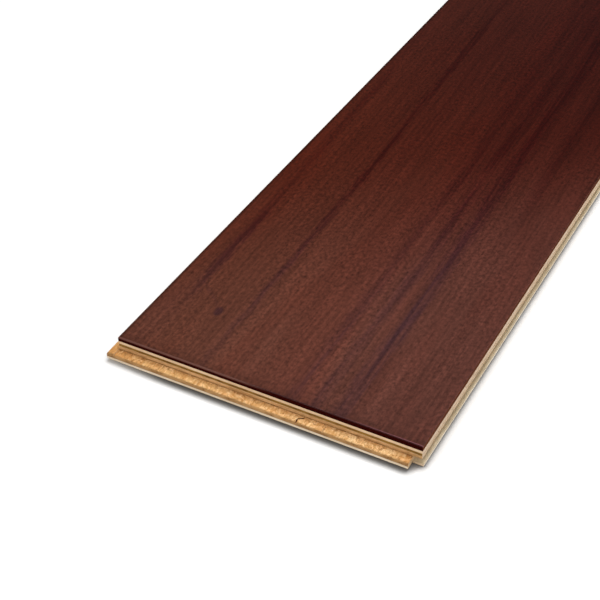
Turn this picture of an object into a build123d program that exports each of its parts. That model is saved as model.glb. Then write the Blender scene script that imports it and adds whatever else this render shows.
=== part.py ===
"""Engineered floorboard: a stained wear layer on cross-laminated plies, milled with tongue and groove.

Millimetres. +Z is up, +Y runs along the board and +X across it. The origin is on the underside, at
the middle of the laying module: the rectangle that the walking face covers in a laid floor. The long
edge at -X and the end at -Y carry the tongues; the long edge at +X and the end at +Y the grooves.
"""

import os

from build123d import *

# Walking face, which is also the pitch at which boards are laid
FACE_LENGTH = 910.0
FACE_WIDTH = 125.0

# Thickness of each glued layer
WEAR_LAYER = 2.0
UPPER_CROSS_PLY = 1.3
UPPER_LONG_PLY = 1.1
MIDDLE_CROSS_PLY = 1.35
CORE_PLY = 1.8
LOWER_CROSS_PLY = 1.3
BACK_VENEER = 1.15

# Tongue and groove, cut at the glue lines above the core and below the lower cross ply
SIDE_TONGUE_REACH = 3.0
END_TONGUE_REACH = 4.0
TONGUE_PLAY = 0.1  # gap above and below a tongue in its groove
GROOVE_RELIEF = 0.5  # space left in a groove past the tongue's nose
NOSE_RADIUS = 0.6  # rounding of a tongue's leading edges
LIP_STEP = 0.5  # how far a groove's lower lip stands out past its upper lip
LIP_CLEARANCE = 0.2  # gap between that lip and the shoulder below the next board's tongue

# Small bevel round the walking face
EDGE_BEVEL = 0.5

# How far the milling cutters run past the stock
CUTTER_OVERRUN = 5.0

# Layers in the order they are pressed, from the underside up
LAYERS = {
    "back_veneer": BACK_VENEER,
    "lower_cross_ply": LOWER_CROSS_PLY,
    "core_ply": CORE_PLY,
    "middle_cross_ply": MIDDLE_CROSS_PLY,
    "upper_long_ply": UPPER_LONG_PLY,
    "upper_cross_ply": UPPER_CROSS_PLY,
    "wear_layer": WEAR_LAYER,
}
BOARD_THICKNESS = sum(LAYERS.values())

# Heights of the groove's two walls, and of the tongue between them
GROOVE_FLOOR = BACK_VENEER
GROOVE_ROOF = BACK_VENEER + LOWER_CROSS_PLY + CORE_PLY
GROOVE_MIDDLE = (GROOVE_FLOOR + GROOVE_ROOF) / 2
TONGUE_THICKNESS = GROOVE_ROOF - GROOVE_FLOOR - 2 * TONGUE_PLAY

# The pressed blank is the face, with stock for the tongues and for the lower lips of the grooves
BLANK_WIDTH = SIDE_TONGUE_REACH + FACE_WIDTH + LIP_STEP
BLANK_LENGTH = END_TONGUE_REACH + FACE_LENGTH + LIP_STEP
BLANK_CORNER = (-FACE_WIDTH / 2 - SIDE_TONGUE_REACH, -FACE_LENGTH / 2 - END_TONGUE_REACH)


def tongue_waste(section_plane, face_size, reach):
    """Section of what the cutters take away above, below and in front of a tongue."""
    shoulder = -face_size / 2
    lower_setback = LIP_STEP + LIP_CLEARANCE
    outside = reach + CUTTER_OVERRUN
    above = BOARD_THICKNESS + CUTTER_OVERRUN - GROOVE_MIDDLE
    below = GROOVE_MIDDLE + CUTTER_OVERRUN
    nose = min(NOSE_RADIUS, 0.49 * TONGUE_THICKNESS)
    with BuildSketch(section_plane) as waste:
        with Locations((shoulder - outside, GROOVE_MIDDLE)):
            Rectangle(outside, above, align=(Align.MIN, Align.MIN))
            Rectangle(outside + lower_setback, below, align=(Align.MIN, Align.MAX))
        with Locations((shoulder - reach, GROOVE_MIDDLE)):
            Rectangle(
                reach + lower_setback,
                TONGUE_THICKNESS,
                align=(Align.MIN, Align.CENTER),
                mode=Mode.SUBTRACT,
            )
        fillet(waste.vertices().group_by(Axis.X)[1], nose)
    return waste.sketch


def groove_waste(section_plane, face_size, reach):
    """Section of the slot for a tongue of that reach, and of the step from lower to upper lip."""
    edge = face_size / 2
    depth = reach + GROOVE_RELIEF
    outside = LIP_STEP + CUTTER_OVERRUN
    with BuildSketch(section_plane) as waste:
        with Locations((edge - depth, GROOVE_FLOOR)):
            Rectangle(depth + outside, GROOVE_ROOF - GROOVE_FLOOR, align=(Align.MIN, Align.MIN))
        with Locations((edge, GROOVE_FLOOR)):
            Rectangle(
                outside,
                BOARD_THICKNESS - GROOVE_FLOOR + CUTTER_OVERRUN,
                align=(Align.MIN, Align.MIN),
            )
    return waste.sketch


# One cutter for each edge: the long edges are seen in section on XZ, the ends on YZ
long_edge_waste = [
    tongue_waste(Plane.XZ, FACE_WIDTH, SIDE_TONGUE_REACH),
    groove_waste(Plane.XZ, FACE_WIDTH, SIDE_TONGUE_REACH),
]
end_waste = [
    tongue_waste(Plane.YZ, FACE_LENGTH, END_TONGUE_REACH),
    groove_waste(Plane.YZ, FACE_LENGTH, END_TONGUE_REACH),
]

os.makedirs("parts", exist_ok=True)

underside = 0.0
for name, thickness in LAYERS.items():
    with BuildPart() as layer:
        with BuildSketch(Plane.XY.offset(underside)):
            with Locations(BLANK_CORNER):
                Rectangle(BLANK_WIDTH, BLANK_LENGTH, align=(Align.MIN, Align.MIN))
        extrude(amount=thickness)
        for waste in long_edge_waste:
            extrude(waste, amount=BLANK_LENGTH, both=True, mode=Mode.SUBTRACT)
        for waste in end_waste:
            extrude(waste, amount=BLANK_WIDTH, both=True, mode=Mode.SUBTRACT)
        if name == "wear_layer":
            chamfer(layer.faces().sort_by(Axis.Z)[-1].edges(), EDGE_BEVEL)
    layer.part.label = name
    export_step(layer.part, f"parts/{name}.step")
    underside += thickness
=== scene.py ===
"""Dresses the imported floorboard: a dark stained face on raw plies, with tongues torn by the cutter."""

from math import cos, pi, radians, sin

import bmesh
import bpy
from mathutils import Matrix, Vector


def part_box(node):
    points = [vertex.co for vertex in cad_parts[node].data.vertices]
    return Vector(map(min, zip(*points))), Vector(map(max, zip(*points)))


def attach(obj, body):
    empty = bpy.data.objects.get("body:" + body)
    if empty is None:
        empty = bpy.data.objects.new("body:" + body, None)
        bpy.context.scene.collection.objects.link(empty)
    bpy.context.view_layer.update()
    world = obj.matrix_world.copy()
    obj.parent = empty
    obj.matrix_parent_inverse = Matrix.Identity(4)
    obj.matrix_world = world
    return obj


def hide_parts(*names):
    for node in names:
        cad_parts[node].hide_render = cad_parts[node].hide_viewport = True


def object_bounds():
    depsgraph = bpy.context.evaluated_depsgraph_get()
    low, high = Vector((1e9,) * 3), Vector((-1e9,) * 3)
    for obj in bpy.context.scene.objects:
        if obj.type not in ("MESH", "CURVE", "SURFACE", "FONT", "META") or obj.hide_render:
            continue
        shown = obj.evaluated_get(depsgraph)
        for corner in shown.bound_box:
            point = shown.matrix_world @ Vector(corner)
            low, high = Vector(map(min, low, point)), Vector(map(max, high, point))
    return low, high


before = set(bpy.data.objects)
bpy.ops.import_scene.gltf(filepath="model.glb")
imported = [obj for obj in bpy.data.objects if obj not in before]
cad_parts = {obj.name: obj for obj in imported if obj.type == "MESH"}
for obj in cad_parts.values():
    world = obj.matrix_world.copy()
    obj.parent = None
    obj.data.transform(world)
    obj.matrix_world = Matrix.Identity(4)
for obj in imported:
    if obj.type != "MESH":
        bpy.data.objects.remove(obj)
cad_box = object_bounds()

MM = 0.001
TOUCH = 0.01 * MM  # places closer than this are the same
WHITE = (1.0, 1.0, 1.0, 1.0)

# The walking face and the ply that carries the tongues, from the frame
face_low, face_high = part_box("wear_layer")
core_low, core_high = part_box("core_ply")
left_edge, near_end = face_low.x, face_low.y
face_width = face_high.x - face_low.x

# Milling of the edges
TONGUE_PLAY = 0.1 * MM
NOSE_RADIUS = 0.6 * MM  # upper edges of the tongues
UNDER_RADIUS = 0.3 * MM  # lower edges of the tongues
EDGE_BEVEL = 0.5 * MM
LACQUER_REACH = 0.45 * MM  # how far the lacquer goes down the face's bevel
PLY_ARRIS = 0.07 * MM
BACK_ARRIS = 0.32 * MM

# Segments of rounded edges, and the angle in degrees up to which faces are shaded as one
ARRIS_STEPS = 2
BEVEL_STEPS = 4
NOSE_STEPS = 5
SMOOTH_ANGLE = 40

# How far each ply stands behind the sawn line of the edges
PLY_SETBACK = {
    "upper_cross_ply": 0.02 * MM,
    "upper_long_ply": 0.1 * MM,
    "middle_cross_ply": 0.04 * MM,
    "back_veneer": 0.02 * MM,
}

# The end tongue is cut across the grain of its ply, which tears out below the side tongue's level
TORN_DEPTH = 0.15 * MM
TORN_COLUMNS = (26, 29)  # cuts along the tongue, then within each of their parts
TORN_ROWS = 11
FIBRE_CELL = (1.0 * MM, 2.4 * MM, 2.4 * MM)
FIBRE_RELIEF = 0.1 * MM
RIPPLE_CELL = (2.6 * MM, 2.6 * MM, 2.6 * MM)
RIPPLE_RELIEF = 0.26 * MM

# Open checks in the end tongue, in millimetres: the depth, and a line across and along from the face's
# near left corner
CHECK_WIDTH = 0.5 * MM
CHECKS = (
    (0.8, ((77.6, -3.6), (77.3, -2.6), (77.5, -1.9), (78.4, -1.3), (79.2, -0.6))),
    (0.25, ((88.1, -2.4), (88.2, -3.7))),
    (0.15, ((113.7, -1.8), (113.5, -3.6))),
)

# Grain of the face: it leans to the left and back in one long wave, and wavers on the way
LEAN_WAVE = 1200 * MM
LEFT_LEAN = 8 * MM
RIGHT_LEAN = 4 * MM
WAVER_REACH = 2.4 * MM

# Stain of the face at its left and at its right edge, in screen colours from 0 to 255
# At the near end the pale stain is partly real tone and partly painted haze of light reflected on the face
PALE_STAIN_AND_HAZE = ((95, 55, 42), (95, 55, 46))
RED_STAIN = ((74, 29, 17), (70, 25, 16))
BROWN_STAIN = ((63, 24, 16), (56, 16, 10))

# Where the stain changes along the board: the pitch of its pale stretches, how much sooner they come at
# the left and at the right edge, the part of that wave that counts, and where deep stain turns from red
# to brown
PALE_PITCH = 660 * MM
LEFT_LEAD = 99 * MM
RIGHT_LEAD = 4 * MM
PALE_SPAN = (-0.75, 0.85)
BROWNING = (120 * MM, 310 * MM)

# Noise levels between which nearly all of a pattern lies
NOISE_LEVELS = (0.2, 0.8)

# Patterns of the stained face, with cells to the metre along X, Y and Z
FACE_WAVER = dict(cells=(30, 9, 1), detail=1)
FACE_REDDENING = dict(cells=(45, 9, 45), levels=(0.45, 0.65), values=(0.0, 0.6))
FACE_CONTRAST = dict(cells=(70, 18, 70), levels=(0.38, 0.62), values=(0.36, 0.56))
FACE_SPECKLE = dict(cells=(790, 540, 790), roughness=0.6, ease="LINEAR")
FACE_FIBRES = dict(cells=(700, 22, 700), detail=3, roughness=0.6, values=(0.66, 1.34), ease="LINEAR")
FACE_BANDS = dict(cells=(110, 1.6, 110), detail=3, roughness=0.6, values=(0.88, 1.12), ease="LINEAR")
FACE_PORES = dict(cells=(900, 320, 900), levels=(0.58, 0.7))
PORE_SHADE = 0.76
FACE_RELIEF = 0.02 * MM

# Darker margins of the face: where they are darkest and where they end, in from the edge, and their shade
LEFT_MARGIN = ((1.0 * MM, 2.0 * MM), 0.58)
RIGHT_MARGIN = ((0.0 * MM, 40 * MM), 0.88)
NEAR_MARGIN = ((0.6 * MM, 6.0 * MM), 0.8)

# What is left of the stain's red, green and blue where it is reddest and where a streak is darkest
REDDENING_TINT = (1.02, 0.86, 0.82, 1.0)
DEEP_STREAK_TINT = (0.56, 0.36, 0.46, 1.0)
PALE_STREAK_TINT = (0.54, 0.6, 0.94, 1.0)

# Dark streaks of the stained face, in millimetres: place across the face at the near end, slope across
# the board, half width, where the streak starts and ends along the board, and its strength
STREAKS = (
    (12.0, -0.006, 3.5, 24, 120, 1.7),
    (11.4, 0.0, 3.4, 10, 320, 0.7),
    (8.0, 0.0, 9.0, -60, 80, 0.3),
    (59.3, -1.04, 2.2, 28, 48, 0.45),
    (37.0, 0.0, 2.6, -60, 400, 1.6),
    (74.6, 0.0, 4.2, -400, 480, 0.65),
    (84.0, 0.0, 3.8, -400, 560, 0.75),
    (93.4, 0.0, 5.0, -400, 900, 1.2),
    (83.0, 0.0, 26.0, -10, 560, 0.5),
    (47.0, 0.0, 26.0, 80, 400, 0.4),
    (108.5, 0.0, 5.0, 110, 330, 0.7),
    (53.0, 0.0, 3.4, 380, 760, 0.8),
    (23.0, 0.0, 4.4, 470, 1000, 1.0),
)
STREAK_FADE = 0.4  # share of its length over which a streak fades in, and out again
STREAK_FEATHER = dict(
    cells=(400, 80, 1), detail=4, roughness=0.72, values=(-1.7 * MM, 1.7 * MM), ease="LINEAR",
)
STREAK_WAXING = dict(cells=(60, 9, 1), levels=(0.3, 0.6), values=(0.6, 1.0))
STREAK_THREADS = dict(cells=(640, 22, 1), detail=3, roughness=0.65, levels=(0.36, 0.62), values=(0.42, 1.0))

# The pin knot: its middle across and along the face, its dark core, its rim, and its width for its length
PIN_KNOT = (26.9 * MM, 30.6 * MM)
KNOT_CORE = 0.5 * MM
KNOT_RIM = 2.3 * MM
KNOT_SLIMNESS = 0.6
KNOT_DARKNESS = 1.5

# Satin lacquer: its roughness on the darkest and on the palest speckles, and how much it reflects
SPECKLE_TONES = (0.54, 1.46)
LACQUER_ROUGHNESS = (0.36, 0.28)
LACQUER_SHINE = 0.12

# Bevels of the wear layer's ends: their stain and how far a surface faces along the board where it starts
# and is full, then a painted highlight, paler, and where it ends and is full, from the left edge and below
# the face
BEVEL_STAIN = (47, 10, 8)
BEVEL_FACING = (0.15, 0.35)
BEVEL_HIGHLIGHT = (102, 66, 57)
HIGHLIGHT_REACH = (68 * MM, 46 * MM)
HIGHLIGHT_DEPTH = (0.85 * MM, 0.55 * MM)

# Painted highlight, a pale sheen on the near end's upper arris: where it starts and is full from the left
# edge, where it ends and is full from the near end, and how far a surface then faces along the board
SHEEN_HIGHLIGHT = (140, 88, 96)
SHEEN_STRENGTH = 0.5
SHEEN_REACH = (85 * MM, 120 * MM)
SHEEN_WIDTH = (0.78 * MM, 0.6 * MM)
SHEEN_FACING = (0.45, 0.3)

# Sawn edges of the wear layer, with the dark and light stain of the long edges and of the ends
EDGE_SIDE_STAIN = ((70, 34, 22), (114, 68, 46))
EDGE_END_STAIN = ((36, 5, 3), (54, 12, 8))
EDGE_FACING = (0.4, 0.6)
EDGE_FIBRES = dict(cells=(1500, 40, 1500))
EDGE_DOTS = dict(cells=(1600, 1600, 1600))
EDGE_DOT_LEVELS = (0.35, 0.65)
EDGE_ROUGHNESS = 0.8
EDGE_RELIEF = 0.03 * MM

# Raw plies: the axis of the grain, then the dark and light tint of the sides along it, of the ends across
# it and of the flat faces
PLY_TINTS = {
    "upper_cross_ply": dict(
        axis="X",
        side_tints=((212, 178, 140), (232, 202, 166)),
        end_tints=((206, 176, 146), (226, 200, 174)),
        flat_tints=((214, 180, 146), (230, 200, 168)),
    ),
    "upper_long_ply": dict(
        axis="Y",
        side_tints=((206, 178, 148), (224, 198, 170)),
        end_tints=((118, 82, 30), (152, 114, 52)),
        flat_tints=((206, 178, 148), (224, 198, 170)),
    ),
    "middle_cross_ply": dict(
        axis="X",
        side_tints=((176, 132, 82), (224, 181, 130)),
        end_tints=((200, 172, 140), (218, 192, 162)),
        flat_tints=((200, 164, 120), (220, 188, 146)),
    ),
    "core_ply": dict(
        axis="Y",
        side_tints=((186, 152, 110), (212, 180, 138)),
        end_tints=((146, 106, 62), (178, 136, 88)),
        flat_tints=((228, 174, 114), (250, 213, 159)),
    ),
    "lower_cross_ply": dict(
        axis="X",
        side_tints=((212, 190, 160), (232, 214, 188)),
        end_tints=((176, 148, 112), (202, 176, 142)),
        flat_tints=((206, 180, 146), (226, 204, 174)),
    ),
    "back_veneer": dict(
        axis="Y",
        side_tints=((223, 207, 184), (243, 231, 214)),
        end_tints=((186, 160, 126), (212, 188, 156)),
        # Its flat faces are tinted darker than its sides: painted shade for the lower lip's top inside the
        # groove
        flat_tints=((200, 184, 152), (222, 208, 178)),
    ),
}

# Grain of the raw plies, in cells to the metre across it and along its short strokes and long fibres
ACROSS_GRAIN = 1400
SHORT_STROKES = 330
LONG_FIBRES = 40
PLY_CLOUDS = dict(cells=(90, 60, 90))
CLOUD_SHARE = 0.8
PLY_LEVELS = (1.05, 1.75)
FLAT_FACING = (0.5, 0.7)
PLY_ROUGHNESS = 0.7
PLY_SHINE = 0.15
PLY_RELIEF = 0.04 * MM

# End grain of the raw plies: rows of growth, with open vessels in the darker rows
GROWTH_ROWS = dict(cells=(260, 260, 700))
ROW_LEVELS = (0.3, 0.7)
VESSELS = dict(cells=(1800, 1800, 1800), levels=(0.56, 0.68))
VESSEL_ROWS = (0.6, 0.4)
VESSEL_TINT = (0.5, 0.44, 0.36, 1.0)
END_FACING = (0.3, 0.7)

# Glue between the plies
GLUE_STAIN = (118, 78, 40)
GLUE_WIDTH = 0.13 * MM
GLUE_STRENGTH = 0.6
GLUE_FACING = (0.9, 0.5)

# Torn top of the end tongue: dark blotches, which are fewer to the right, tears along the contours of a
# pattern, and a shaded nose
BLOTCHES = dict(cells=(400, 260, 400), roughness=0.6, distortion=1.6)
BLOTCH_LEVELS = (0.42, 0.62)
BLOTCH_LIFT = (-0.1, 0.03)
BLOTCH_REACH = 0.7 * face_width
BLOTCH_TINT = (0.74, 0.64, 0.5, 1.0)
TEARS = dict(cells=(330, 190, 330), roughness=0.6, distortion=1.2)
TEAR_CONTOUR = 0.5  # height of the pattern that the tears follow
TEAR_WIDTH = 0.03  # in the same height
TEAR_STRENGTH = 0.7
TEAR_STAIN = (140, 88, 42)
NOSE_REACH = (-3.8 * MM, -3.1 * MM)  # places from the near end
NOSE_SHADE = 0.66

# Hollows of the open checks, darkened with painted shade: where they turn dark, below the core's top, in from
# the face's left and right edges, and inside the tongue's nose and root, as places from the near end
HOLLOW_SHADE = (118, 68, 30)
HOLLOW_DEPTH = (0.5 * MM, 1.0 * MM)
HOLLOW_LEFT = (0.0 * MM, 1.0 * MM)
HOLLOW_RIGHT = (5.0 * MM, 6.0 * MM)
HOLLOW_NOSE = (-3.75 * MM, -3.55 * MM)
HOLLOW_ROOT = (0.0 * MM, -0.1 * MM)

# Floor, in metres: its size, its own tint, and how far off it starts to turn and is all white
FLOOR_SIZE = 30.0
FLOOR_TINT = (236, 236, 236)
FLOOR_ROUGHNESS = 0.9
WHITE_DISTANCE = (0.7, 2.0)

# Shade on the floor close to the board: how far it reaches, the way it looks for the board, the light left
# where a place is so open, in the crevice and further out, and where the shade fades to the left
SHADE_REACH = 3.4 * MM
SHADE_LOOK = (-0.12, 0.28, 0.95)
SHADE_SAMPLES = 8
CREVICE_OPENNESS = (0.0, 0.4)
CREVICE_LIGHT = (0.07, 0.22)
OUTER_OPENNESS = (0.35, 1.0)
OUTER_CURVE = 2.3
SHADE_FADE = (-4 * MM, 26 * MM)
LEFT_SHADE = 0.35

# Light of the studio, at the front right and low above the floor: the way to it, the cosines of the angle
# to that way between which the light changes, and its strength at either
STUDIO_LIGHT = (
    ((0.77, -0.64, 0.0), (-0.4, 0.6), (0.05, 0.98)),
    ((0.0, 0.0, -1.0), (-0.49, -0.41), (0.0, 0.15)),
)

# Camera of the photograph, in the board's frame: metres and degrees, and the lens in millimetres
CAMERA_PLACE = (0.1853, -0.77635, 0.3485)
CAMERA_PITCH = 38.734
CAMERA_HEADING = 27.949
CAMERA_LENS = 83.816
CAMERA_CLIP = 10 * MM


def paint(red, green, blue):
    """A screen colour from 0 to 255 as the linear colour that a socket takes, by the sRGB curve."""
    linear = []
    for level in (red / 255, green / 255, blue / 255):
        linear.append(level / 12.92 if level <= 0.04045 else ((level + 0.055) / 1.055) ** 2.4)
    return (*linear, 1.0)


class Nodes:
    """The nodes of a material or a world, with short calls for those that they share."""

    def __init__(self, owner):
        owner.use_nodes = True
        self.tree = owner.node_tree

    def node(self, kind, **settings):
        """A new node of that kind, with its settings."""
        made = self.tree.nodes.new("ShaderNode" + kind)
        for name, value in settings.items():
            setattr(made, name, value)
        return made

    def feed(self, socket, value):
        """Links the socket to another one, or sets it to a plain value."""
        if isinstance(value, bpy.types.NodeSocket):
            self.tree.links.new(value, socket)
        else:
            socket.default_value = value

    def math(self, operation, first, second=0.0):
        """What one step of arithmetic makes of two values."""
        made = self.node("Math", operation=operation)
        self.feed(made.inputs[0], first)
        self.feed(made.inputs[1], second)
        return made.outputs[0]

    def product(self, first, *others):
        """All of the values multiplied together."""
        whole = first
        for other in others:
            whole = self.math("MULTIPLY", whole, other)
        return whole

    def span(self, value, low, high, start=0.0, end=1.0, ease="SMOOTHSTEP"):
        """Takes a value from start to end as it goes from low to high."""
        made = self.node("MapRange", interpolation_type=ease)
        for socket, number in zip(made.inputs, (value, low, high, start, end)):
            self.feed(socket, number)
        return made.outputs[0]

    def measure(self, operation, first, second=(0.0, 0.0, 0.0)):
        """A number that comes from vectors, such as a length."""
        made = self.node("VectorMath", operation=operation)
        self.feed(made.inputs[0], first)
        self.feed(made.inputs[1], second)
        return made.outputs["Value"]


class Finish(Nodes):
    """One material's nodes, with calls for places on the board and for what finishes are made of."""

    def __init__(self, name):
        self.material = bpy.data.materials.new(name)
        super().__init__(self.material)
        self.surface = self.tree.nodes["Principled BSDF"].inputs
        self.place = self.node("TexCoord").outputs["Object"]

    def axes(self, vector):
        """A vector's X, Y and Z."""
        made = self.node("SeparateXYZ")
        self.feed(made.inputs[0], vector)
        return made.outputs

    def vector(self, x, y, z):
        """A vector of the given X, Y and Z."""
        made = self.node("CombineXYZ")
        for socket, value in zip(made.inputs, (x, y, z)):
            self.feed(socket, value)
        return made.outputs[0]

    def across(self):
        """How far a place is to the right of the face's left edge."""
        return self.math("SUBTRACT", self.axes(self.place)[0], left_edge)

    def along(self):
        """How far a place is past the face's near end."""
        return self.math("SUBTRACT", self.axes(self.place)[1], near_end)

    def below(self, level):
        """How far a place is below a level."""
        return self.math("SUBTRACT", level, self.axes(self.place)[2])

    def facing(self):
        """How far the surface faces along X, Y and Z, either way."""
        normal = self.axes(self.node("NewGeometry").outputs["True Normal"])
        return [self.math("ABSOLUTE", axis) for axis in normal]

    def wave(self, value, length):
        """A cosine of the given wave length, 1 where the value is 0."""
        return self.math("COSINE", self.math("MULTIPLY", value, 2 * pi / length))

    def noise(self, vector, cells, detail=2.0, roughness=0.5, distortion=0.0):
        """Noise with so many cells to the metre along X, Y and Z."""
        stretch = self.node("Mapping")
        self.feed(stretch.inputs["Vector"], vector)
        stretch.inputs["Scale"].default_value = cells
        made = self.node("TexNoise")
        self.feed(made.inputs["Vector"], stretch.outputs[0])
        made.inputs["Scale"].default_value = 1.0
        made.inputs["Detail"].default_value = detail
        made.inputs["Roughness"].default_value = roughness
        made.inputs["Distortion"].default_value = distortion
        return made.outputs[0]

    def pattern(self, vector, levels=NOISE_LEVELS, values=(0.0, 1.0), ease="SMOOTHSTEP", **texture):
        """Noise that goes from one value to the other between two of its levels."""
        return self.span(self.noise(vector, **texture), *levels, *values, ease)

    def blend(self, factor, first, second, mode="MIX"):
        """Turns the first colour into the second, or into their product, as far as the factor says."""
        made = self.node("Mix", data_type="RGBA", blend_type=mode)
        self.feed(made.inputs["Factor"], factor)
        self.feed(made.inputs[6], first)
        self.feed(made.inputs[7], second)
        return made.outputs[2]

    def tint(self, factor, colours):
        """Blends a pair of screen colours."""
        first, second = colours
        return self.blend(factor, paint(*first), paint(*second))

    def coat(self, colour, roughness, shine):
        """Gives the surface its colour, its roughness and how much it reflects."""
        self.feed(self.surface["Base Color"], colour)
        self.feed(self.surface["Roughness"], roughness)
        self.surface["Specular IOR Level"].default_value = shine
        return self.material

    def bump(self, height, depth):
        """Gives the surface the fine relief of a height pattern."""
        made = self.node("Bump")
        made.inputs["Strength"].default_value = 1.0
        made.inputs["Distance"].default_value = depth
        self.feed(made.inputs["Height"], height)
        self.feed(self.surface["Normal"], made.outputs[0])


def leaning_grain(finish, along):
    """Places along the grain, which leans to the left and back, less so towards the right edge."""
    x, y, z = finish.axes(finish.place)
    lean = finish.math("SUBTRACT", 1.0, finish.wave(along, LEAN_WAVE))
    reach = finish.span(finish.across(), 0.0, face_width, LEFT_LEAN, RIGHT_LEAN, "LINEAR")
    waver = finish.math("MULTIPLY", finish.noise(finish.place, **FACE_WAVER), WAVER_REACH)
    leant = finish.math("ADD", x, finish.math("MULTIPLY", lean, reach))
    return finish.vector(finish.math("ADD", leant, waver), y, z)


def stain_paleness_and_haze(finish, along):
    """Pale and deep stretches of stain taking turns, sooner along the left edge, with painted haze in the
    near one.
    """
    lead = finish.span(finish.across(), 0.0, face_width, LEFT_LEAD, RIGHT_LEAD, "LINEAR")
    return finish.span(finish.wave(finish.math("ADD", along, lead), PALE_PITCH), *PALE_SPAN)


def stain_and_haze_colour(finish, grain, along, paleness_and_haze):
    """The stain, with painted haze in its pale stretch at the near end: pale or deep, browner further along,
    and redder in places.
    """
    rightward = finish.span(finish.across(), 0.0, face_width)
    red = finish.tint(rightward, RED_STAIN)
    brown = finish.tint(rightward, BROWN_STAIN)
    deep = finish.blend(finish.span(along, *BROWNING), red, brown)
    stain = finish.blend(paleness_and_haze, deep, finish.tint(rightward, PALE_STAIN_AND_HAZE))
    return finish.blend(finish.pattern(grain, **FACE_REDDENING), stain, REDDENING_TINT, "MULTIPLY")


def margin_shades(finish, along):
    """Shades of the face's darker margins, at its left arris, to the right and behind its near end."""
    across = finish.across()
    shades = []
    for inward, (reach, shade) in (
        (across, LEFT_MARGIN),
        (finish.math("SUBTRACT", face_width, across), RIGHT_MARGIN),
        (along, NEAR_MARGIN),
    ):
        shades.append(finish.span(inward, *reach, shade, 1.0))
    return shades


def streak_darkness(finish, grain, along):
    """How dark the streaks make the face, from 0 to 1, with one small pin knot."""
    across = finish.math("SUBTRACT", finish.axes(grain)[0], left_edge)
    feathered = finish.math("ADD", across, finish.pattern(finish.place, **STREAK_FEATHER))
    waxing = finish.pattern(finish.place, **STREAK_WAXING)
    waxing = finish.math("MULTIPLY", waxing, finish.pattern(grain, **STREAK_THREADS))

    knot_x = finish.math("SUBTRACT", across, PIN_KNOT[0])
    knot_y = finish.math("MULTIPLY", finish.math("SUBTRACT", along, PIN_KNOT[1]), KNOT_SLIMNESS)
    from_knot = finish.measure("LENGTH", finish.vector(knot_x, knot_y, 0.0))
    darkness = finish.span(from_knot, KNOT_CORE, KNOT_RIM, KNOT_DARKNESS, 0.0)
    for centre, slope, half_width, start, end, strength in STREAKS:
        middle = finish.math("ADD", finish.math("MULTIPLY", along, slope), centre * MM)
        offset = finish.math("ABSOLUTE", finish.math("SUBTRACT", feathered, middle))
        streak = finish.span(offset, 0.0, half_width * MM, strength, 0.0)
        fade = STREAK_FADE * (end - start)
        for outside, inside in ((start, start + fade), (end, end - fade)):
            streak = finish.math("MULTIPLY", streak, finish.span(along, outside * MM, inside * MM))
        darkness = finish.math("ADD", darkness, finish.math("MULTIPLY", streak, waxing))
    return finish.math("MINIMUM", darkness, 1.0)


def end_stain_and_highlight(finish, stain):
    """The stain on the wear layer's ends, with a painted highlight along the left half of their upper arris.
    """
    highlight = finish.math(
        "MULTIPLY",
        finish.span(finish.across(), *HIGHLIGHT_REACH),
        finish.span(finish.below(face_high.z), *HIGHLIGHT_DEPTH),
    )
    return finish.blend(highlight, stain, paint(*BEVEL_HIGHLIGHT))


def stained_hardwood():
    """Dark reddish-brown stain on straight grain, speckled by fine pores under a low satin lacquer, with
    painted haze and highlights.
    """
    finish = Finish("stained_hardwood")
    along = finish.along()
    grain = leaning_grain(finish, along)
    paleness_and_haze = stain_paleness_and_haze(finish, along)

    # The grain's tone: speckles that vary in contrast, fibres, wide bands, pores and the darker margins
    contrast = finish.pattern(grain, **FACE_CONTRAST)
    darkest = finish.math("SUBTRACT", 1.0, contrast)
    palest = finish.math("ADD", 1.0, contrast)
    speckle = finish.pattern(grain, values=(darkest, palest), **FACE_SPECKLE)
    pores = finish.pattern(grain, **FACE_PORES)
    tone = finish.product(
        speckle,
        finish.pattern(grain, **FACE_FIBRES),
        finish.pattern(grain, **FACE_BANDS),
        finish.span(pores, 0.0, 1.0, 1.0, PORE_SHADE, "LINEAR"),
        *margin_shades(finish, along),
    )
    face = finish.blend(1.0, stain_and_haze_colour(finish, grain, along, paleness_and_haze), tone, "MULTIPLY")
    # In the pale stretch the streaks are greyer, and at the near end that is painted haze over them
    streak_tint = finish.blend(paleness_and_haze, DEEP_STREAK_TINT, PALE_STREAK_TINT)
    face = finish.blend(streak_darkness(finish, grain, along), face, streak_tint, "MULTIPLY")

    # Stain gathers on the bevels of the ends, with a painted highlight on their left half, and the near arris
    # has a painted pale sheen towards the right
    facing_y = finish.facing()[1]
    bevel = end_stain_and_highlight(finish, paint(*BEVEL_STAIN))
    face = finish.blend(finish.span(facing_y, *BEVEL_FACING), face, bevel)
    sheen = finish.product(
        finish.span(along, *SHEEN_WIDTH),
        finish.span(facing_y, *SHEEN_FACING),
        finish.span(finish.across(), *SHEEN_REACH, 0.0, SHEEN_STRENGTH),
    )
    face = finish.blend(sheen, face, paint(*SHEEN_HIGHLIGHT))

    finish.bump(finish.math("SUBTRACT", speckle, pores), FACE_RELIEF)
    roughness = finish.span(speckle, *SPECKLE_TONES, *LACQUER_ROUGHNESS, "LINEAR")
    return finish.coat(face, roughness, LACQUER_SHINE)


def stained_edge():
    """The wear layer's sawn edges, where the stain soaked in and no lacquer covers it, with a painted
    highlight high on the ends' left half.
    """
    finish = Finish("stained_edge")
    dots = finish.noise(finish.place, **EDGE_DOTS)
    side = finish.tint(finish.noise(finish.place, **EDGE_FIBRES), EDGE_SIDE_STAIN)
    end = end_stain_and_highlight(finish, finish.tint(finish.span(dots, *EDGE_DOT_LEVELS), EDGE_END_STAIN))
    colour = finish.blend(finish.span(finish.facing()[1], *EDGE_FACING), side, end)
    finish.bump(dots, EDGE_RELIEF)
    return finish.coat(colour, EDGE_ROUGHNESS, 0.0)


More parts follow.
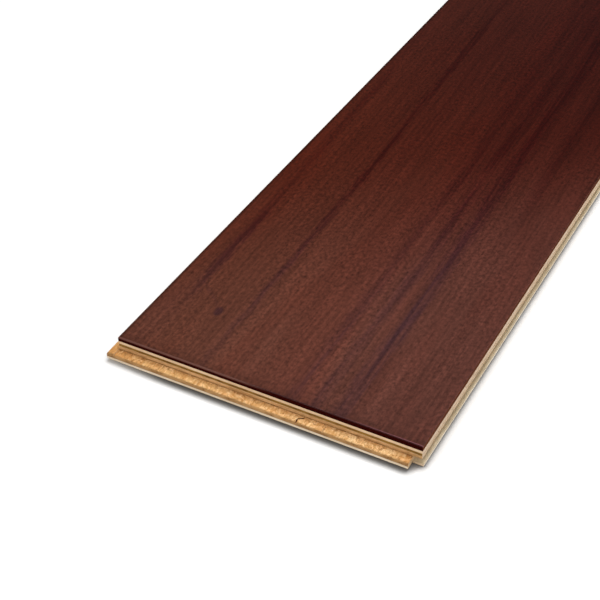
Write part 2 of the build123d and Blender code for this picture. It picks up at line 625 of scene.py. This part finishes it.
def ply_fibres(finish, axis, cells_along):
    """Fine straight fibres of a raw ply along one axis."""
    cells = [ACROSS_GRAIN, ACROSS_GRAIN, ACROSS_GRAIN]
    cells["XYZ".index(axis)] = cells_along
    return finish.noise(finish.place, cells, detail=3, roughness=0.6)


def raw_veneer(node, axis, side_tints, end_tints, flat_tints):
    """Raw ply: fine straight grain along one axis, and end grain with open vessels where it is cut."""
    finish = Finish(node)
    facing_x, facing_y, facing_z = finish.facing()
    fibres = finish.math(
        "ADD",
        ply_fibres(finish, axis, SHORT_STROKES),
        ply_fibres(finish, axis, LONG_FIBRES),
    )
    clouds = finish.math("MULTIPLY", finish.noise(finish.place, **PLY_CLOUDS), CLOUD_SHARE)
    light = finish.span(finish.math("ADD", fibres, clouds), *PLY_LEVELS)
    flats = finish.tint(light, flat_tints)
    if node == "core_ply":
        flats = torn_grain(finish, flats)
    colour = finish.blend(finish.span(facing_z, *FLAT_FACING), finish.tint(light, side_tints), flats)

    # End grain, where the surface faces along the grain
    rows = finish.noise(finish.place, **GROWTH_ROWS)
    vessels = finish.pattern(finish.place, **VESSELS)
    vessels = finish.math("MULTIPLY", vessels, finish.span(rows, *VESSEL_ROWS))
    ends = finish.tint(finish.span(rows, *ROW_LEVELS), end_tints)
    ends = finish.blend(vessels, ends, VESSEL_TINT, "MULTIPLY")
    facing_grain = facing_x if axis == "X" else facing_y
    colour = finish.blend(finish.span(facing_grain, *END_FACING), colour, ends)
    if node == "core_ply":
        colour = open_checks(finish, colour)

    # Glue shows as a thin brown line along each ply's upper and lower edge
    low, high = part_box(node)
    from_top = finish.below(high.z)
    from_glue = finish.math("MINIMUM", from_top, finish.math("SUBTRACT", high.z - low.z, from_top))
    glue = finish.span(from_glue, 0.0, GLUE_WIDTH, GLUE_STRENGTH, 0.0)
    glue = finish.math("MULTIPLY", glue, finish.span(facing_z, *GLUE_FACING))
    colour = finish.blend(glue, colour, paint(*GLUE_STAIN))

    finish.bump(fibres, PLY_RELIEF)
    return finish.coat(colour, PLY_ROUGHNESS, PLY_SHINE)


def torn_grain(finish, colour):
    """Blotches, short curved tears and a shaded nose, where the cutter crossed the grain of a tongue."""
    lift = finish.span(finish.across(), 0.0, BLOTCH_REACH, *BLOTCH_LIFT)
    blotches = finish.math("ADD", finish.noise(finish.place, **BLOTCHES), lift)
    dark = finish.blend(1.0, colour, BLOTCH_TINT, "MULTIPLY")
    colour = finish.blend(finish.span(blotches, *BLOTCH_LEVELS), dark, colour)
    contour = finish.math("SUBTRACT", finish.noise(finish.place, **TEARS), TEAR_CONTOUR)
    tears = finish.span(finish.math("ABSOLUTE", contour), 0.0, TEAR_WIDTH, TEAR_STRENGTH, 0.0)
    colour = finish.blend(tears, colour, paint(*TEAR_STAIN))
    nose = finish.span(finish.along(), *NOSE_REACH, NOSE_SHADE, 1.0)
    return finish.blend(1.0, colour, nose, "MULTIPLY")


def open_checks(finish, colour):
    """Painted shade in the hollows inside the end tongue's checks, away from its nose and its two ends."""
    across = finish.across()
    along = finish.along()
    hollow = finish.product(
        finish.span(finish.below(core_high.z), *HOLLOW_DEPTH),
        finish.span(across, *HOLLOW_LEFT),
        finish.span(finish.math("SUBTRACT", face_width, across), *HOLLOW_RIGHT),
        finish.span(along, *HOLLOW_NOSE),
        finish.span(along, *HOLLOW_ROOT),
    )
    return finish.blend(hollow, colour, paint(*HOLLOW_SHADE))


finishes = {"wear_layer": stained_hardwood()}
for ply, look in PLY_TINTS.items():
    finishes[ply] = raw_veneer(ply, **look)


def start_block(name, low, high):
    """A cube at a piece's size and place, opened in edit mode."""
    bpy.ops.object.select_all(action="DESELECT")
    bpy.ops.mesh.primitive_cube_add(size=1.0, location=(low + high) / 2)
    piece = bpy.context.object
    piece.name = piece.data.name = name
    piece.scale = high - low
    bpy.ops.object.transform_apply(location=True, rotation=False, scale=True)
    bpy.ops.object.mode_set(mode="EDIT")
    return piece


def pick(piece, kind, wanted):
    """Selects the vertices, edges or faces that are wanted, going by the box that each one fills."""
    bpy.ops.mesh.select_mode(type=kind)
    bpy.ops.mesh.select_all(action="DESELECT")
    model = bmesh.from_edit_mesh(piece.data)
    for item in {"VERT": model.verts, "EDGE": model.edges, "FACE": model.faces}[kind]:
        corners = [item.co] if kind == "VERT" else [corner.co for corner in item.verts]
        low = Vector([min(places) for places in zip(*corners)])
        high = Vector([max(places) for places in zip(*corners)])
        if wanted(low, high):
            item.select_set(True)
    model.select_flush_mode()
    bmesh.update_edit_mesh(piece.data)


def same(first, second):
    """Whether two places along an axis are the same."""
    return abs(first - second) < TOUCH


def slice_across(axis, place):
    """Cuts a line right round the piece at a place along an axis."""
    bpy.ops.mesh.select_all(action="SELECT")
    normal = Vector((axis == "X", axis == "Y", axis == "Z"))
    bpy.ops.mesh.bisect(plane_co=normal * place, plane_no=normal)


def round_edges(radius, steps):
    """Rounds the edges that are selected."""
    bpy.ops.mesh.bevel(offset=radius, segments=steps, profile=0.5)


def roughen(piece, group, cell, relief):
    """Sinks the group's surface by up to the relief, in a pattern with cells of the given size."""
    bpy.ops.object.empty_add()
    guide = bpy.context.object
    guide.scale = cell
    texture = bpy.data.textures.new(group + "_grain", "CLOUDS")
    texture.noise_scale = 1.0
    bpy.context.view_layer.objects.active = piece
    sink = piece.modifiers.new(group, "DISPLACE")
    sink.texture = texture
    sink.texture_coords = "OBJECT"
    sink.texture_coords_object = guide
    sink.direction = "Z"
    sink.mid_level = 1.0
    sink.strength = relief
    sink.vertex_group = group
    bpy.context.view_layer.update()
    bpy.ops.object.modifier_apply(modifier=sink.name)
    bpy.data.objects.remove(guide)
    bpy.data.textures.remove(texture)


def name_group(piece, name):
    """Makes a vertex group of what is selected."""
    bpy.ops.object.vertex_group_assign_new()
    piece.vertex_groups.active.name = name


def seat(piece, node):
    """Finishes a modelled piece and puts it in its node's place on the board."""
    bpy.ops.object.mode_set(mode="OBJECT")
    bpy.ops.object.select_all(action="DESELECT")
    piece.select_set(True)
    bpy.context.view_layer.objects.active = piece
    bpy.ops.object.shade_smooth_by_angle(angle=radians(SMOOTH_ANGLE))
    even = piece.modifiers.new("even_shading", "WEIGHTED_NORMAL")
    even.keep_sharp = True
    bpy.ops.object.modifier_apply(modifier=even.name)
    piece.data.materials.append(finishes[node])
    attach(piece, "root")
    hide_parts(node)


def stained_face():
    """The wear layer, with a rounded bevel round its face and raw sawn edges below it."""
    piece = start_block("stained_face", face_low, face_high)
    pick(piece, "EDGE", lambda low, high: same(low.z, face_high.z))
    round_edges(EDGE_BEVEL, BEVEL_STEPS)
    seat(piece, "wear_layer")
    piece.data.materials.append(stained_edge())
    bpy.ops.object.mode_set(mode="EDIT")
    lacquered = face_high.z - LACQUER_REACH
    pick(piece, "FACE", lambda low, high: low.z < lacquered)
    piece.active_material_index = 1
    bpy.ops.object.material_slot_assign()
    bpy.ops.object.mode_set(mode="OBJECT")


def ply_block(name, node):
    """The block of a plain ply, set back a little from the sawn line."""
    low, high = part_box(node)
    setback = Vector((PLY_SETBACK[node], PLY_SETBACK[node], 0.0))
    return start_block(name, low + setback, high - setback)


def sawn_ply(name, node):
    """A plain ply, with its arrises just broken."""
    piece = ply_block(name, node)
    bpy.ops.mesh.select_all(action="SELECT")
    round_edges(PLY_ARRIS, ARRIS_STEPS)
    seat(piece, node)


def back_sheet():
    """The back veneer, with its lower arrises sanded round."""
    piece = ply_block("back_sheet", "back_veneer")
    bottom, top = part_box("back_veneer")
    pick(piece, "EDGE", lambda low, high: same(high.z, bottom.z))
    round_edges(BACK_ARRIS, BEVEL_STEPS)
    pick(piece, "EDGE", lambda low, high: same(low.z, top.z))
    round_edges(PLY_ARRIS, ARRIS_STEPS)
    seat(piece, "back_veneer")


def tongue_block(name, block_low, block_high, level, play, radius):
    """A ply with tongues: its inner part stands past their level by the play, and their edges are rounded."""
    piece = start_block(name, block_low, block_high)
    slice_across("X", left_edge)
    slice_across("Y", near_end)

    def at_level(low, high):
        return same(low.z, level) and same(high.z, level)

    def inner(low, high):
        return at_level(low, high) and low.x > left_edge - TOUCH and low.y > near_end - TOUCH

    def outer(low, high):
        return at_level(low, high) and (same(high.x, block_low.x) or same(high.y, block_low.y))

    pick(piece, "FACE", inner)
    bpy.ops.mesh.extrude_region_move(TRANSFORM_OT_translate={"value": (0.0, 0.0, play)})
    pick(piece, "EDGE", outer)
    round_edges(radius, NOSE_STEPS)
    return piece


def on_check(point, line):
    """Whether a point of the end tongue lies on the line of an open check."""
    spot = Vector(((point.x - left_edge) / MM, (point.y - near_end) / MM))
    for start, end in zip(line, line[1:]):
        start, run = Vector(start), Vector(end) - Vector(start)
        share = min(max((spot - start).dot(run) / run.length_squared, 0.0), 1.0)
        if (spot - start - run * share).length < CHECK_WIDTH / MM / 2:
            return True
    return False


def tongue_core():
    """The core ply: its inner part meets the ply above, and its tongues are rounded and torn."""
    top = core_high.z - TONGUE_PLAY
    tongue_high = Vector((core_high.x, core_high.y, top))
    piece = tongue_block("tongue_core", core_low, tongue_high, top, TONGUE_PLAY, NOSE_RADIUS)
    nose_foot = top - NOSE_RADIUS

    def in_end(low, high):
        return low.x > left_edge - TOUCH and high.y < near_end + TOUCH

    def lengthwise(low, high):
        return in_end(low, high) and same(low.y, high.y) and same(low.z, high.z)

    def crosswise(low, high):
        return in_end(low, high) and same(low.x, high.x) and same(low.z, top)

    def torn(low, high):
        return in_end(low, high) and low.x > left_edge + TOUCH and nose_foot + TOUCH < low.z < top + TOUCH

    # The end tongue gets columns along it and rows across its top
    for cuts in TORN_COLUMNS:
        pick(piece, "EDGE", lengthwise)
        bpy.ops.mesh.subdivide(number_cuts=cuts)
    pick(piece, "EDGE", crosswise)
    bpy.ops.mesh.subdivide(number_cuts=TORN_ROWS)

    # It tears out below the side tongue, deepest in the checks
    pick(piece, "VERT", torn)
    squash = 1.0 - TORN_DEPTH / NOSE_RADIUS
    bpy.ops.transform.resize(value=(1.0, 1.0, squash), center_override=(0.0, 0.0, nose_foot))
    name_group(piece, "torn_tongue")
    for depth, line in CHECKS:
        pick(piece, "VERT", lambda low, high: torn(low, high) and on_check(low, line))
        bpy.ops.transform.translate(value=(0.0, 0.0, -depth * MM))
    bpy.ops.object.mode_set(mode="OBJECT")
    roughen(piece, "torn_tongue", FIBRE_CELL, FIBRE_RELIEF)
    roughen(piece, "torn_tongue", RIPPLE_CELL, RIPPLE_RELIEF)
    seat(piece, "core_ply")


def tongue_under_ply():
    """The lower cross ply, which carries the tongues' lower half."""
    low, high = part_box("lower_cross_ply")
    bottom = low.z + TONGUE_PLAY
    tongue_low = Vector((low.x, low.y, bottom))
    piece = tongue_block("tongue_under_ply", tongue_low, high, bottom, -TONGUE_PLAY, UNDER_RADIUS)
    seat(piece, "lower_cross_ply")


stained_face()
sawn_ply("cream_cross_ply", "upper_cross_ply")
sawn_ply("olive_long_ply", "upper_long_ply")
sawn_ply("tan_cross_ply", "middle_cross_ply")
tongue_core()
tongue_under_ply()
back_sheet()


def white_floor():
    """Pale floor that the camera sees white, and darker close to the board, most of all before its end."""
    finish = Finish("white_floor")
    occlusion = finish.node("AmbientOcclusion", samples=SHADE_SAMPLES)
    occlusion.inputs["Distance"].default_value = SHADE_REACH
    finish.feed(occlusion.inputs["Normal"], finish.vector(*SHADE_LOOK))
    openness = occlusion.outputs["AO"]

    # The light in the crevice and the light further out add up to white in the open
    crevice = finish.span(openness, *CREVICE_OPENNESS, *CREVICE_LIGHT)
    outer = finish.math("POWER", finish.span(openness, *OUTER_OPENNESS, ease="LINEAR"), OUTER_CURVE)
    outer = finish.math("MULTIPLY", outer, 1.0 - max(CREVICE_LIGHT))
    strength = finish.span(finish.across(), *SHADE_FADE, LEFT_SHADE, 1.0)
    shade = finish.blend(strength, WHITE, finish.math("ADD", outer, crevice))

    # Only the camera sees the shade, and white far off
    seen = finish.node("LightPath").outputs["Is Camera Ray"]
    distant = finish.span(finish.measure("LENGTH", finish.place), *WHITE_DISTANCE)
    finish.surface["Emission Color"].default_value = WHITE
    finish.feed(finish.surface["Emission Strength"], finish.math("MULTIPLY", distant, seen))
    return finish.coat(finish.blend(seen, paint(*FLOOR_TINT), shade), FLOOR_ROUGHNESS, 0.0)


bpy.ops.object.select_all(action="DESELECT")
bpy.ops.mesh.primitive_plane_add(size=FLOOR_SIZE, location=(0.0, 0.0, cad_box[0].z))
floor = bpy.context.object
floor.name = "floor"
floor.data.materials.append(white_floor())


def studio_world():
    """Bright to the front right, dim to the back left, and hazy low down, where the far face reflects it."""
    world = bpy.data.worlds.new("studio")
    nodes = Nodes(world)
    sky = nodes.node("TexCoord").outputs["Generated"]
    strength = nodes.node("LightPath").outputs["Is Camera Ray"]
    for direction, cosines, strengths in STUDIO_LIGHT:
        towards = nodes.measure("DOT_PRODUCT", sky, direction)
        strength = nodes.math("MAXIMUM", strength, nodes.span(towards, *cosines, *strengths))
    background = nodes.tree.nodes["Background"].inputs
    background["Color"].default_value = WHITE
    nodes.feed(background["Strength"], strength)
    bpy.context.scene.world = world


def softbox(name, aim, heading, elevation, distance, size, level):
    """A lamp that looks at a point; level 1 lights a surface that faces it as plain daylight does."""
    turn = radians(heading)
    rise = radians(elevation)
    away = Vector((-sin(turn) * cos(rise), cos(turn) * cos(rise), sin(rise)))
    bpy.ops.object.light_add(type="AREA", location=Vector(aim) + away * distance)
    lamp = bpy.context.object
    lamp.name = name
    lamp.data.shape = "SQUARE"
    lamp.data.size = size
    lamp.data.energy = level * (pi * distance) ** 2
    lamp.rotation_euler = away.to_track_quat("Z", "Y").to_euler()


near_middle = (0.0, near_end, face_high.z)
studio_world()
softbox("top_softbox", near_middle, heading=-7, elevation=77, distance=1.4, size=0.6, level=0.65)
softbox("front_softbox", near_middle, heading=140, elevation=38, distance=1.5, size=0.4, level=0.12)

bpy.ops.object.camera_add(
    location=CAMERA_PLACE,
    rotation=(radians(90 - CAMERA_PITCH), 0.0, radians(CAMERA_HEADING)),
)
camera = bpy.context.object
camera.data.lens = CAMERA_LENS
camera.data.clip_start = CAMERA_CLIP
bpy.context.scene.camera = camera
bpy.context.scene.view_settings.view_transform = "Standard"
